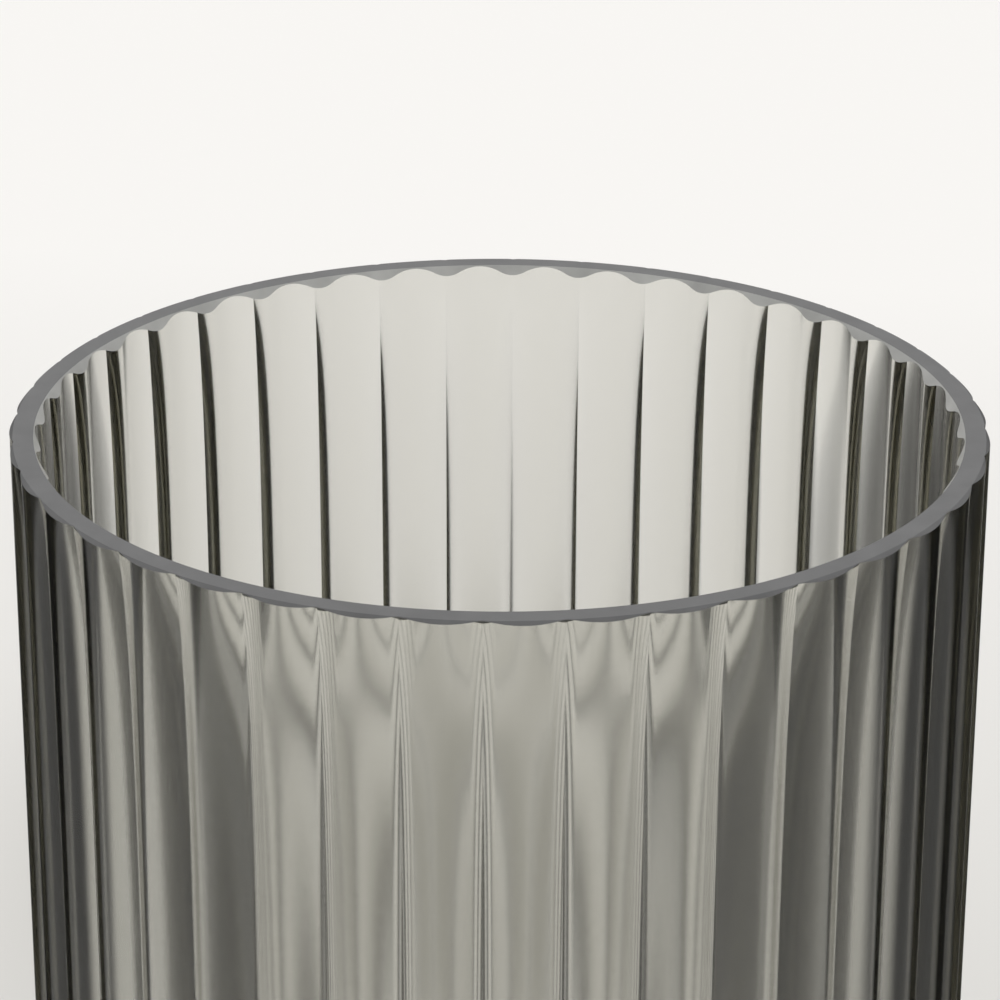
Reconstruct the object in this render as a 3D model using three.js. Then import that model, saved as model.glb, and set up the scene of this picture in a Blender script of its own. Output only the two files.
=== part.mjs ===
// Reeded glass cylinder vase.
//
// A drawn tube of smoked glass, reeded outside and fluted inside, stands on a cut disc of the same
// glass and is held to it by a thin ring of clear adhesive. The top of the tube is ground flat, and
// both of its edges are broken by an arris. The reeds are shallower towards the rim.
//
// Millimetres, +Z up. The origin is the centre of the underside, and a reed crest lies on +X.

import * as THREE from 'three';

// Overall sizes
const HEIGHT = 250;             // underside of the base to the ground rim
const OUTER_RADIUS = 60;        // centre line to the reed crests

// Section of the tube
const REED_COUNT = 40;          // reeds outside, each with one flute behind it
const REED_SWELL = 1.8;         // how far a reed swells out, from its edges to its crest
const WALL = 3.1;               // reed crest to the middle of the flute behind it
const FLUTE_DEPTH = 0.72;       // middle of a flute to the top of the ridge beside it
const RIDGE_NOSE = 5.7;         // rounding on top of a ridge

// Reeds towards the rim, where the glass was reheated
const RIM_STRENGTH = 0.3;       // depth of the reeds at the rim, as a part of their full depth
const FADE_DEPTH = 12;          // how far below the rim most of the depth is back

// Ground rim
const OUTER_ARRIS = 0.48;       // width of the outer arris, measured in from the reed crests
const OUTER_ARRIS_ANGLE = 40;   // degrees below level
const LEAST_ARRIS = 0.08;       // width of the outer arris in the notches
const INNER_ARRIS = 0.1;        // width of the inner arris in the middle of a flute
const INNER_ARRIS_ANGLE = 55;   // degrees below level

// Base and bond
const BASE_THICKNESS = 10;
const BASE_ARRIS = 0.5;         // 45 degree chamfer round both edges of the disc
const BOND_THICKNESS = 0.2;
const BOND_SETBACK = 0.3;       // the adhesive stops this far inside the narrowest part of the tube

// Smoothness of the curves
const REED_COLUMNS = 10;        // columns to a reed, on both faces of the tube
const RIDGE_COLUMNS = 4;        // of the inner columns, those that round the ridge
const FADE_LEVELS = [45, 22, 10, 4, 0];   // rings of the outside, measured down from the arris
const TURNED_SEGMENTS = 4 * REED_COUNT;

// Levels
const bondBottom = BASE_THICKNESS;
const tubeBottom = bondBottom + BOND_THICKNESS;
const tubeLength = HEIGHT - tubeBottom;

const halfPitch = Math.PI / REED_COUNT;

// Materials

function smokedGlass() {
  return new THREE.MeshStandardMaterial({
    color: 0x8c8c82, roughness: 0.04, metalness: 0, transparent: true, opacity: 0.45,
  });
}

function clearAdhesive() {
  return new THREE.MeshStandardMaterial({
    color: 0xd8dad4, roughness: 0.1, metalness: 0, transparent: true, opacity: 0.35,
  });
}

// Repeats the columns of one reed all round the tube.
function allRound(columns) {
  const middles = Array.from({ length: REED_COUNT }, (_, i) => 2 * halfPitch * i);
  return middles.flatMap((middle) => columns.map(([angle, value]) => [middle + angle, value]));
}

// Columns of the outside, from the notch on one side of a reed towards the next: the angle of each,
// and how far the full reed lies inside the crest there.
function reedColumns() {
  const steps = Array.from({ length: REED_COLUMNS }, (_, i) => 2 * i / REED_COLUMNS - 1);
  return allRound(steps.map((step) => [halfPitch * step, REED_SWELL * step ** 2]));
}

// Columns of the inside: the angle and radius of each. Every flute is an arc, and a smaller reversed
// arc, the ridge, joins it to the next flute.
function fluteColumns() {
  const hollow = OUTER_RADIUS - WALL;
  const ridgeCentre = hollow - FLUTE_DEPTH + RIDGE_NOSE;
  const across = ridgeCentre * Math.cos(halfPitch);
  const aside = ridgeCentre * Math.sin(halfPitch);
  const spread = hollow ** 2 + ridgeCentre ** 2 - 2 * hollow * across - RIDGE_NOSE ** 2;
  const radius = spread / (2 * (hollow - across + RIDGE_NOSE));
  const centre = hollow - radius;
  const sweep = Math.atan2(aside, across - centre);

  const onFlute = (part) => [centre + radius * Math.cos(part * sweep), radius * Math.sin(part * sweep)];
  const onRidge = (part) => {
    const lean = Math.PI - halfPitch - part * (sweep - halfPitch);
    return [across + RIDGE_NOSE * Math.cos(lean), -aside + RIDGE_NOSE * Math.sin(lean)];
  };
  const mirrored = ([x, y]) => [x, -y];

  const ridgeSide = RIDGE_COLUMNS / 2;
  const fluteColumnCount = REED_COLUMNS - RIDGE_COLUMNS;
  const points = [];
  for (let i = 0; i < ridgeSide; i++) points.push(onRidge(i / ridgeSide));
  for (let i = 0; i < fluteColumnCount; i++) points.push(onFlute(2 * i / fluteColumnCount - 1));
  for (let i = ridgeSide; i > 0; i--) points.push(mirrored(onRidge(i / ridgeSide)));
  return allRound(points.map(([x, y]) => [Math.atan2(y, x), Math.hypot(x, y)]));
}

// A closed skin through rings of points, each ring joined to the next and the last to the first.
function skin(rings) {
  const columns = rings[0].length;
  const index = [];
  rings.forEach((_, band) => {
    const low = band * columns;
    const high = ((band + 1) % rings.length) * columns;
    for (let j = 0; j < columns; j++) {
      const k = (j + 1) % columns;
      index.push(low + j, low + k, high + k, low + j, high + k, high + j);
    }
  });
  const geometry = new THREE.BufferGeometry();
  geometry.setAttribute('position', new THREE.Float32BufferAttribute(rings.flat(2), 3));
  geometry.setIndex(index);
  geometry.computeVertexNormals();
  return geometry;
}

// The tube, from the foot up the outside, over the ground rim and down the inside.
function reededWall() {
  const outerSlope = Math.tan(THREE.MathUtils.degToRad(OUTER_ARRIS_ANGLE));
  const innerSlope = Math.tan(THREE.MathUtils.degToRad(INNER_ARRIS_ANGLE));
  const rimInner = OUTER_RADIUS - WALL + INNER_ARRIS;
  const at = (angle, radius, z) => [radius * Math.cos(angle), radius * Math.sin(angle), z];

  const outside = reedColumns().map(([angle, sunk]) => {
    const topRadius = OUTER_RADIUS - sunk * RIM_STRENGTH;
    const rimRadius = Math.min(OUTER_RADIUS - OUTER_ARRIS, topRadius - LEAST_ARRIS);
    const top = tubeLength - (topRadius - rimRadius) * outerSlope;
    const strengthAt = (depth) => 1 - (1 - RIM_STRENGTH) * Math.exp(-depth / FADE_DEPTH);
    const pointAt = (depth) => at(angle, OUTER_RADIUS - sunk * strengthAt(depth), top - depth);
    return { foot: pointAt(top), levels: FADE_LEVELS.map(pointAt), rim: at(angle, rimRadius, tubeLength) };
  });
  const inside = fluteColumns().map(([angle, radius]) => ({
    rim: at(angle, rimInner, tubeLength),
    top: at(angle, radius, tubeLength - (rimInner - radius) * innerSlope),
    foot: at(angle, radius, 0),
  }));

  const mesh = new THREE.Mesh(skin([
    outside.map((column) => column.foot),
    ...FADE_LEVELS.map((_, i) => outside.map((column) => column.levels[i])),
    outside.map((column) => column.rim),
    inside.map((column) => column.rim),
    inside.map((column) => column.top),
    inside.map((column) => column.foot),
  ]), smokedGlass());
  mesh.name = 'reeded_wall';
  mesh.position.z = tubeBottom;
  return mesh;
}

// A lathe profile lies in the XY plane with the axis along Y; the turned solid is stood up along Z.
function turn(profile) {
  const points = profile.map(([r, z]) => new THREE.Vector2(r, z));
  return new THREE.LatheGeometry(points, TURNED_SEGMENTS).rotateX(Math.PI / 2);
}

// The adhesive is a ring under the foot of the tube, inside the notches and outside the flutes.
function adhesiveBond() {
  const outer = OUTER_RADIUS - REED_SWELL - BOND_SETBACK;
  const inner = OUTER_RADIUS - WALL + BOND_SETBACK;
  const mesh = new THREE.Mesh(turn([
    [inner, 0],
    [outer, 0],
    [outer, BOND_THICKNESS],
    [inner, BOND_THICKNESS],
    [inner, 0],
  ]), clearAdhesive());
  mesh.name = 'adhesive_bond';
  mesh.position.z = bondBottom;
  return mesh;
}

// The disc is cut to the diameter over the reeds, and both of its edges are chamfered.
function baseDisc() {
  const mesh = new THREE.Mesh(turn([
    [0, 0],
    [OUTER_RADIUS - BASE_ARRIS, 0],
    [OUTER_RADIUS, BASE_ARRIS],
    [OUTER_RADIUS, BASE_THICKNESS - BASE_ARRIS],
    [OUTER_RADIUS - BASE_ARRIS, BASE_THICKNESS],
    [0, BASE_THICKNESS],
  ]), smokedGlass());
  mesh.name = 'base_disc';
  return mesh;
}

const vase = new THREE.Group();
vase.add(reededWall(), adhesiveBond(), baseDisc());

export default vase;
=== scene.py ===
"""The looks of the reeded glass vase: its fine meshes, the materials, the light and the camera."""

import math

import bpy
import numpy as np
from mathutils import Matrix, Vector


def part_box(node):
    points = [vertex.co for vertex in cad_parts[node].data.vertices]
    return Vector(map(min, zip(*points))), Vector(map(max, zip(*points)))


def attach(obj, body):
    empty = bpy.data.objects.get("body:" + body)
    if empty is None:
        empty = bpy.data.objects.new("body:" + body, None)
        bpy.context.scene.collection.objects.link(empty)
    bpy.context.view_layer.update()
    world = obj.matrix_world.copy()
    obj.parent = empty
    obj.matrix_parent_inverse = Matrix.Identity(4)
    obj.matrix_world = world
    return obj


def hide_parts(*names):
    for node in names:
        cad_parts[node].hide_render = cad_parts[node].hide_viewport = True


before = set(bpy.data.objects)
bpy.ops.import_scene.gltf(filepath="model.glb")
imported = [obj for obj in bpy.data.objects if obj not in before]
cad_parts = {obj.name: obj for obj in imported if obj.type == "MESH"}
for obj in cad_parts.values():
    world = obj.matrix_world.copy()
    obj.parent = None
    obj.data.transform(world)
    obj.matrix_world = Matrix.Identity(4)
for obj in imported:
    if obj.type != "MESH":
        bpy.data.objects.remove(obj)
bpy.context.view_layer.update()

MM = 0.001

# ---------------------------------------------------------------- sizes of the glass, in metres

wall_low, wall_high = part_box("reeded_wall")
base_low, base_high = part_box("base_disc")
OUTER = wall_high.x
TOP = wall_high.z
FOOT = wall_low.z

# Section of the wall, as in the CAD
REEDS = 40
SWELL = 1.8 * MM
WALL = 3.1 * MM
FLUTE_DEPTH = 0.72 * MM
RIDGE_NOSE = 5.7 * MM

# Base
BASE_ARRIS = 0.5 * MM

# Ground rim
OUTER_ARRIS = 0.48 * MM
OUTER_SLOPE = math.tan(math.radians(40))
INNER_ARRIS = 0.1 * MM
INNER_SLOPE = math.tan(math.radians(55))
LEAST_ARRIS = 0.08 * MM         # width of the outer arris in the notches

# The reeds are shallower at the rim, where the glass was reheated, and deepen below it
RIM_STRENGTH = 0.3              # depth of the reeds at the rim, as a part of their full depth
STRENGTH_DEPTH = 12 * MM        # how far below the rim most of the depth is back

# Smoothness of the meshes
REED_STEPS = 30                 # columns to a reed
NOSE_STEPS = 10                 # of the inner columns, those that round the ridge
CROWDING = 0.7                  # how much closer the outer columns are near the notches
ROWS = 30
ROW_CROWDING = 2.2              # how much closer the rows are near the rim
DISC_STEPS = 240
SHARP_EDGE = math.radians(22)   # a fold sharper than this stays an edge

GLASS_SLOT, RIM_SLOT, OUTER_ARRIS_SLOT, INNER_ARRIS_SLOT = range(4)


# ---------------------------------------------------------------- materials

SMOKE_COLOUR = (0.60, 0.59, 0.515)
SMOKE_DENSITY = 200
GLASS_IOR = 1.52
GLASS_ROUGHNESS = 0.11

# A noise has a stretch along each axis, a scale and a detail. A bump has a strength and a distance.
EVEN = (1, 1, 1)
RIPPLE_NOISE = ((1, 1, 0.25), 260, 2)
RIPPLE_BUMP = (0.06, 0.05 * MM)
PATCH_NOISE = (EVEN, 180, 6)
PATCH_START, PATCH_END = 0.3, 0.7
GRAIN_NOISE = (EVEN, 9000, 2)
GRAIN_BUMP = (0.15, 0.01 * MM)
BUBBLE_NOISE = (EVEN, 1500, 4)
BUBBLE_START, BUBBLE_END = 0.6, 0.75
ADHESIVE_COLOUR = (0.93, 0.94, 0.92, 1)
ADHESIVE_GLOSS, BUBBLE_GLOSS = 0.03, 0.3

# Ground surfaces: darker patches, lighter patches and roughness
RIM_FINISH = ((0.08, 0.08, 0.082), (0.11, 0.11, 0.112), 0.42)
OUTER_ARRIS_FINISH = ((0.085, 0.085, 0.087), (0.11, 0.11, 0.112), 0.45)
# The inner arris is painted much lighter than the rim: painted light, for light showing through its
# translucent ground facets.
INNER_ARRIS_FINISH_AND_PAINTED_LIGHT = ((0.30, 0.30, 0.29), (0.42, 0.42, 0.405), 0.35)


def node_material(name):
    """A material with an empty node tree and an output."""
    material = bpy.data.materials.new(name)
    material.use_nodes = True
    tree = material.node_tree
    tree.nodes.clear()
    return material, tree, tree.nodes.new("ShaderNodeOutputMaterial")


def add_noise(tree, stretch, scale, detail):
    """Noise that follows the object, stretched along each axis."""
    place = tree.nodes.new("ShaderNodeTexCoord")
    mapping = tree.nodes.new("ShaderNodeMapping")
    mapping.inputs["Scale"].default_value = stretch
    noise = tree.nodes.new("ShaderNodeTexNoise")
    noise.inputs["Scale"].default_value = scale
    noise.inputs["Detail"].default_value = detail
    tree.links.new(place.outputs["Object"], mapping.inputs["Vector"])
    tree.links.new(mapping.outputs["Vector"], noise.inputs["Vector"])
    return noise.outputs["Fac"]


def add_bump(tree, height, strength, distance):
    bump = tree.nodes.new("ShaderNodeBump")
    bump.inputs["Strength"].default_value = strength
    bump.inputs["Distance"].default_value = distance
    tree.links.new(height, bump.inputs["Height"])
    return bump.outputs["Normal"]


def add_ramp(tree, factor, stops):
    """A colour ramp with (position, colour) stops."""
    ramp = tree.nodes.new("ShaderNodeValToRGB")
    elements = ramp.color_ramp.elements
    while len(elements) < len(stops):
        elements.new(0.5)
    for element, (position, colour) in zip(elements, stops):
        element.position = position
        element.color = (*colour, 1)
    tree.links.new(factor, ramp.inputs["Fac"])
    return ramp.outputs["Color"]


def add_absorption(tree, out):
    absorb = tree.nodes.new("ShaderNodeVolumeAbsorption")
    absorb.inputs["Color"].default_value = (*SMOKE_COLOUR, 1)
    absorb.inputs["Density"].default_value = SMOKE_DENSITY
    tree.links.new(absorb.outputs["Volume"], out.inputs["Volume"])


def glass_material():
    """Fire-polished smoked glass, with the faint ripple that drawing leaves along the reeds."""
    material, tree, out = node_material("smoked_glass")
    surface = tree.nodes.new("ShaderNodeBsdfPrincipled")
    surface.inputs["Base Color"].default_value = (1, 1, 1, 1)
    surface.inputs["Transmission Weight"].default_value = 1
    surface.inputs["Roughness"].default_value = GLASS_ROUGHNESS
    surface.inputs["IOR"].default_value = GLASS_IOR
    ripple = add_noise(tree, *RIPPLE_NOISE)
    tree.links.new(add_bump(tree, ripple, *RIPPLE_BUMP), surface.inputs["Normal"])
    tree.links.new(surface.outputs["BSDF"], out.inputs["Surface"])
    add_absorption(tree, out)
    return material


def ground_material(name, dark, light, roughness):
    """Glass ground to an even satin: fine grain, with faint lighter and darker patches."""
    material, tree, out = node_material(name)
    surface = tree.nodes.new("ShaderNodeBsdfPrincipled")
    surface.inputs["Roughness"].default_value = roughness
    surface.inputs["IOR"].default_value = GLASS_IOR
    patches = add_noise(tree, *PATCH_NOISE)
    tone = add_ramp(tree, patches, [(PATCH_START, dark), (PATCH_END, light)])
    tree.links.new(tone, surface.inputs["Base Color"])
    grain = add_noise(tree, *GRAIN_NOISE)
    tree.links.new(add_bump(tree, grain, *GRAIN_BUMP), surface.inputs["Normal"])
    tree.links.new(surface.outputs["BSDF"], out.inputs["Surface"])
    add_absorption(tree, out)
    return material


def adhesive_material():
    """Clear cured adhesive, with a few fine bubbles that dull it."""
    material, tree, out = node_material("clear_adhesive")
    surface = tree.nodes.new("ShaderNodeBsdfPrincipled")
    surface.inputs["Base Color"].default_value = ADHESIVE_COLOUR
    surface.inputs["Transmission Weight"].default_value = 1
    surface.inputs["IOR"].default_value = GLASS_IOR
    bubbles = add_noise(tree, *BUBBLE_NOISE)
    dulling = tree.nodes.new("ShaderNodeMapRange")
    dulling.inputs["From Min"].default_value = BUBBLE_START
    dulling.inputs["From Max"].default_value = BUBBLE_END
    dulling.inputs["To Min"].default_value = ADHESIVE_GLOSS
    dulling.inputs["To Max"].default_value = BUBBLE_GLOSS
    tree.links.new(bubbles, dulling.inputs["Value"])
    tree.links.new(dulling.outputs["Result"], surface.inputs["Roughness"])
    tree.links.new(surface.outputs["BSDF"], out.inputs["Surface"])
    return material


GLASS = glass_material()
RIM = ground_material("ground_rim", *RIM_FINISH)
OUTER_EDGE = ground_material("ground_outer_arris", *OUTER_ARRIS_FINISH)
# the inner arris material carries painted light: its tones are lighter than the rim's
INNER_EDGE = ground_material("ground_inner_arris", *INNER_ARRIS_FINISH_AND_PAINTED_LIGHT)
ADHESIVE = adhesive_material()


# ---------------------------------------------------------------- meshes

def make_object(name, verts, faces, materials, slots=None, smooth=False):
    mesh = bpy.data.meshes.new(name)
    mesh.from_pydata([tuple(v) for v in verts], [], faces)
    for material in materials:
        mesh.materials.append(material)
    if slots is not None:
        mesh.polygons.foreach_set("material_index", slots)
    mesh.polygons.foreach_set("use_smooth", [smooth] * len(mesh.polygons))
    mesh.update()
    piece = bpy.data.objects.new(name, mesh)
    bpy.context.scene.collection.objects.link(piece)
    return piece


def crowded_steps():
    """Steps across a reed, from -1 in one notch to nearly 1 in the next, closer near the notches."""
    even = -1 + 2 * np.arange(REED_STEPS) / REED_STEPS
    return np.sin(even * math.pi / 2) * CROWDING + even * (1 - CROWDING)


def reed_curve():
    """Angle of each column of the outside, and how far the full reed lies inside its crest."""
    steps = crowded_steps()
    middles = 2 * math.pi * np.arange(REEDS) / REEDS
    angles = (middles[:, None] + steps * math.pi / REEDS).ravel()
    return angles, np.tile(SWELL * steps**2, REEDS)


def flute_curve():
    """Angle and radius of each column of the inside: an arc for each flute, and a reversed arc for
    each ridge."""
    half = math.pi / REEDS
    hollow = OUTER - WALL
    ridge_centre = hollow - FLUTE_DEPTH + RIDGE_NOSE
    across = ridge_centre * math.cos(half)
    aside = ridge_centre * math.sin(half)
    spread = hollow**2 + ridge_centre**2 - 2 * hollow * across - RIDGE_NOSE**2
    radius = spread / (2 * (hollow - across + RIDGE_NOSE))
    centre = hollow - radius
    sweep = math.atan2(aside, across - centre)
    lean = (sweep - half) * 2 * np.arange(NOSE_STEPS // 2) / NOSE_STEPS
    first = math.pi - half - lean
    last = math.pi + half + (sweep - half) - lean
    flute = sweep * (2 * np.arange(REED_STEPS - NOSE_STEPS) / (REED_STEPS - NOSE_STEPS) - 1)
    x = np.concatenate([
        across + RIDGE_NOSE * np.cos(first),
        centre + radius * np.cos(flute),
        across + RIDGE_NOSE * np.cos(last),
    ])
    y = np.concatenate([
        -aside + RIDGE_NOSE * np.sin(first),
        radius * np.sin(flute),
        aside + RIDGE_NOSE * np.sin(last),
    ])
    middles = 2 * math.pi * np.arange(REEDS) / REEDS
    angles = (middles[:, None] + np.arctan2(y, x)).ravel()
    return angles, np.tile(np.hypot(x, y), REEDS)


def ring(angles, radii, z):
    return np.column_stack([radii * np.cos(angles), radii * np.sin(angles), z])


def build_wall():
    """The tube: rings of vertices up the outside, over the ground rim and down the inside."""
    outer_angles, sunk = reed_curve()
    inner_angles, inner_radii = flute_curve()
    columns = len(outer_angles)
    level = np.full(columns, TOP)
    depths = (np.arange(ROWS + 1) / ROWS) ** ROW_CROWDING

    def outer_radii(depth):
        strength = 1 - (1 - RIM_STRENGTH) * np.exp(-depth / STRENGTH_DEPTH)
        return OUTER - sunk * strength

    rim_sunk = sunk * RIM_STRENGTH
    rim_outer = np.minimum(OUTER - OUTER_ARRIS, OUTER - rim_sunk - LEAST_ARRIS)
    rim_inner = np.full(columns, OUTER - WALL + INNER_ARRIS)
    outer_top = TOP - (OUTER - rim_sunk - rim_outer) * OUTER_SLOPE
    inner_top = TOP - (rim_inner - inner_radii) * INNER_SLOPE

    rings = []
    for depth in depths[::-1]:
        z = outer_top - depth * (outer_top - FOOT)
        rings.append(ring(outer_angles, outer_radii(outer_top - z), z))
    rings.append(ring(outer_angles, rim_outer, level))
    rings.append(ring(inner_angles, rim_inner, level))
    for depth in depths:
        rings.append(ring(inner_angles, inner_radii, inner_top - depth * (inner_top - FOOT)))

    slot_of_band = {ROWS: OUTER_ARRIS_SLOT, ROWS + 1: RIM_SLOT, ROWS + 2: INNER_ARRIS_SLOT}
    faces = []
    slots = []
    for band in range(len(rings)):
        low = band * columns
        high = (band + 1) % len(rings) * columns
        for j in range(columns):
            k = (j + 1) % columns
            faces.append((low + j, low + k, high + k, high + j))
        slots += [slot_of_band.get(band, GLASS_SLOT)] * columns
    materials = [GLASS, RIM, OUTER_EDGE, INNER_EDGE]
    wall = make_object("wall_glass", np.concatenate(rings), faces, materials, slots, smooth=True)
    wall.data.set_sharp_from_angle(angle=SHARP_EDGE)
    return wall


def build_base():
    """The cut disc, with a polished arris round both of its edges."""
    profile = [
        (OUTER - BASE_ARRIS, base_low.z),
        (OUTER, base_low.z + BASE_ARRIS),
        (OUTER, base_high.z - BASE_ARRIS),
        (OUTER - BASE_ARRIS, base_high.z),
    ]
    angles = 2 * math.pi * np.arange(DISC_STEPS) / DISC_STEPS
    verts = np.concatenate([ring(angles, r, np.full(DISC_STEPS, z)) for r, z in profile])
    faces = []
    for low in range(0, (len(profile) - 1) * DISC_STEPS, DISC_STEPS):
        for j in range(DISC_STEPS):
            k = (j + 1) % DISC_STEPS
            faces.append((low + j, low + k, low + DISC_STEPS + k, low + DISC_STEPS + j))
    faces.append(tuple(reversed(range(DISC_STEPS))))
    faces.append(tuple(range(len(verts) - DISC_STEPS, len(verts))))
    base = make_object("base_glass", verts, faces, [GLASS], smooth=True)
    base.data.set_sharp_from_angle(angle=SHARP_EDGE)
    return base


for piece, node in [(build_wall(), "reeded_wall"), (build_base(), "base_disc")]:
    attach(piece, "root")
    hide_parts(node)

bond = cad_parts["adhesive_bond"]
for slot in bond.material_slots:
    slot.material = ADHESIVE


# ---------------------------------------------------------------- stage

FLOOR_RADIUS = 8
FLOOR_GAP = 0.4 * MM
FLOOR_ROUGHNESS = 0.8
FLOOR_TURN = math.radians(10)
# The near tone is painted shade: the table is painted darker towards the front, along a direction
# turned by FLOOR_TURN.
TABLE_NEAR_PAINTED_SHADE, TABLE_FAR = (0.70, 0.688, 0.662), (0.94, 0.925, 0.905)
NEAR_END, FAR_END = 0.2, 0.75   # how far behind the vase those two tones lie
SHADOW_PLACE = (0, 0.37, 0)     # a soft painted shadow of the vase, on the table behind it
SHADOW_SIZE = (0.13, 0.2, 1)
SHADOW_SHADE = (0.56, 0.555, 0.53)
SHADOW_CORE = 0.45              # the shade is even above this part of the gradient
ROOM_RADIUS = 0.25
ROOM_HEIGHT = 0.3
ROOM_STEPS = 180
WINDOW = 25                     # degrees on each side of straight behind the vase
ROOM_SHADES = [                 # degrees to the right of straight behind, and brightness
    (-180, 0.9), (-76, 0.9), (-68, 0.03), (-40, 0.03), (-30, 0.3), (-25, 0.9),
    (25, 0.9), (30, 0.3), (40, 0.03), (78, 0.03), (90, 0.8), (180, 0.8),
]


def build_floor():
    """The pale table, with painted shade towards the front and a soft painted shadow behind the vase.
    """
    angles = 2 * math.pi * np.arange(DISC_STEPS) / DISC_STEPS
    verts = ring(angles, FLOOR_RADIUS, np.full(DISC_STEPS, -FLOOR_GAP))
    material, tree, out = node_material("pale_table")
    surface = tree.nodes.new("ShaderNodeBsdfPrincipled")
    surface.inputs["Roughness"].default_value = FLOOR_ROUGHNESS
    place = tree.nodes.new("ShaderNodeTexCoord")
    mapping = tree.nodes.new("ShaderNodeMapping")
    mapping.inputs["Rotation"].default_value = (0, 0, FLOOR_TURN)
    split = tree.nodes.new("ShaderNodeSeparateXYZ")
    tree.links.new(place.outputs["Object"], mapping.inputs["Vector"])
    tree.links.new(mapping.outputs["Vector"], split.inputs["Vector"])
    # painted shade: the table's colour darkens towards the front
    shade = add_ramp(tree, split.outputs["Y"], [(NEAR_END, TABLE_NEAR_PAINTED_SHADE), (FAR_END, TABLE_FAR)])
    # painted shadow: a soft dark patch multiplied into the table's colour behind the vase
    patch = tree.nodes.new("ShaderNodeMapping")
    patch.vector_type = "TEXTURE"
    patch.inputs["Location"].default_value = SHADOW_PLACE
    patch.inputs["Scale"].default_value = SHADOW_SIZE
    fading = tree.nodes.new("ShaderNodeTexGradient")
    fading.gradient_type = "QUADRATIC_SPHERE"
    tree.links.new(place.outputs["Object"], patch.inputs["Vector"])
    tree.links.new(patch.outputs["Vector"], fading.inputs["Vector"])
    shadow = add_ramp(tree, fading.outputs["Fac"], [(0, (1, 1, 1)), (SHADOW_CORE, SHADOW_SHADE)])
    darken = tree.nodes.new("ShaderNodeMix")
    darken.data_type = "RGBA"
    darken.blend_type = "MULTIPLY"
    darken.inputs["Factor"].default_value = 1
    tree.links.new(shade, darken.inputs["A"])
    tree.links.new(shadow, darken.inputs["B"])
    tree.links.new(darken.outputs["Result"], surface.inputs["Base Color"])
    tree.links.new(surface.outputs["BSDF"], out.inputs["Surface"])
    make_object("floor", verts, [tuple(range(DISC_STEPS))], [material])


def build_room():
    """The room round the bright backdrop, dark on both sides. The camera doesn't see it directly. It
    shows through glass and in reflections."""
    turns = np.linspace(WINDOW, 360 - WINDOW, ROOM_STEPS)
    angles = np.radians(90 + turns)
    verts = []
    for angle in angles:
        x, y = ROOM_RADIUS * math.cos(angle), ROOM_RADIUS * math.sin(angle)
        verts += [(x, y, 0), (x, y, ROOM_HEIGHT)]
    faces = [(2 * i, 2 * i + 2, 2 * i + 3, 2 * i + 1) for i in range(ROOM_STEPS - 1)]

    material, tree, out = node_material("dim_room")
    surface = tree.nodes.new("ShaderNodeBsdfDiffuse")
    place = tree.nodes.new("ShaderNodeTexCoord")
    split = tree.nodes.new("ShaderNodeSeparateXYZ")
    bearing = tree.nodes.new("ShaderNodeMath")
    bearing.operation = "ARCTAN2"
    part = tree.nodes.new("ShaderNodeMapRange")
    part.inputs["From Min"].default_value = -math.pi
    part.inputs["From Max"].default_value = math.pi
    tree.links.new(place.outputs["Object"], split.inputs["Vector"])
    tree.links.new(split.outputs["X"], bearing.inputs[0])
    tree.links.new(split.outputs["Y"], bearing.inputs[1])
    tree.links.new(bearing.outputs["Value"], part.inputs["Value"])
    stops = [(0.5 + degrees / 360, (value, value, value)) for degrees, value in ROOM_SHADES]
    tree.links.new(add_ramp(tree, part.outputs["Result"], stops), surface.inputs["Color"])
    tree.links.new(surface.outputs["BSDF"], out.inputs["Surface"])

    room = make_object("dim_room", verts, faces, [material])
    room.visible_camera = False
    room.visible_diffuse = False
    room.visible_shadow = False


build_floor()
build_room()

# ---------------------------------------------------------------- light

WORLD_COLOUR = (1.0, 0.998, 0.99, 1)

scene = bpy.context.scene
world = bpy.data.worlds.new("studio")
scene.world = world
world.use_nodes = True
world.node_tree.nodes["Background"].inputs["Color"].default_value = WORLD_COLOUR
world.node_tree.nodes["Background"].inputs["Strength"].default_value = 1.0
scene.view_settings.view_transform = "Standard"

# ---------------------------------------------------------------- camera

ELEVATION = 22.8
AZIMUTH = -2.8
ROLL = -0.21
DISTANCE = 0.506
LENS = 148.2
SENSOR_WIDTH = 36
CLIP_START, CLIP_END = 0.01, 50
AIM = (0.0001, -0.0098)         # where the camera points, right of and above the centre of the rim


def build_camera():
    az, el, roll = (math.radians(v) for v in (AZIMUTH, ELEVATION, ROLL))
    right = Vector((math.cos(az), math.sin(az), 0))
    away = Vector((-math.sin(az), math.cos(az), 0))
    up = away * math.sin(el) + Vector((0, 0, math.cos(el)))
    back = right.cross(up)
    place = Vector((0, 0, TOP)) + right * AIM[0] + up * AIM[1] + back * DISTANCE
    right, up = (
        right * math.cos(roll) - up * math.sin(roll),
        right * math.sin(roll) + up * math.cos(roll),
    )
    data = bpy.data.cameras.new("camera")
    data.lens = LENS
    data.sensor_width = SENSOR_WIDTH
    data.clip_start = CLIP_START
    data.clip_end = CLIP_END
    camera = bpy.data.objects.new("camera", data)
    camera.matrix_world = Matrix((
        (right.x, up.x, back.x, place.x),
        (right.y, up.y, back.y, place.y),
        (right.z, up.z, back.z, place.z),
        (0, 0, 0, 1),
    ))
    scene.collection.objects.link(camera)
    scene.camera = camera


build_camera()
